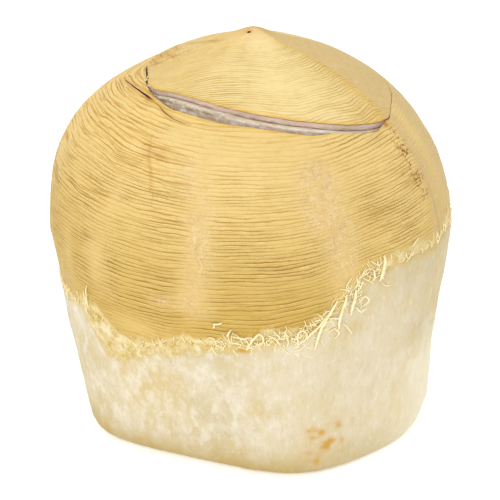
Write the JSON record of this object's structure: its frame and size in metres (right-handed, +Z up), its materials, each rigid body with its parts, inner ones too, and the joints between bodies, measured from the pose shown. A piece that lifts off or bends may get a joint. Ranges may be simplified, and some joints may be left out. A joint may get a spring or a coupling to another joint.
{
  "type": "trimmed young coconut with a cut lid",
  "caption": "Trimmed young coconut of coconut water: grooved golden shell dome, pale husk cup with a flat base, and a cut lid lying in its opening.",
  "frame": {"origin": "centre of the flat base, on the surface that the coconut stands on", "axes": "+Z up through the pointed tip, -Y towards the open side of the lid's cut, +X to the right as seen from the front"},
  "size_m": [0.1197, 0.1161, 0.1185],
  "materials": {
    "husk": "matt pale cream husk, torn and fibrous at its upper edge",
    "shell": "golden young shell with fine level tool grooves, satin",
    "flesh": "moist white coconut flesh",
    "coconut_water": "clear to slightly cloudy coconut water",
    "lid_shell": "golden young shell with fine level tool grooves, satin, pinkish at the cut",
    "lid_flesh": "moist white coconut flesh"
  },
  "bodies": {
    "root": {"husk": "husk", "shell": "shell", "flesh": "flesh", "coconut_water": "coconut_water", "lid_shell": "lid_shell", "lid_flesh": "lid_flesh"}
  },
  "joints": []
}
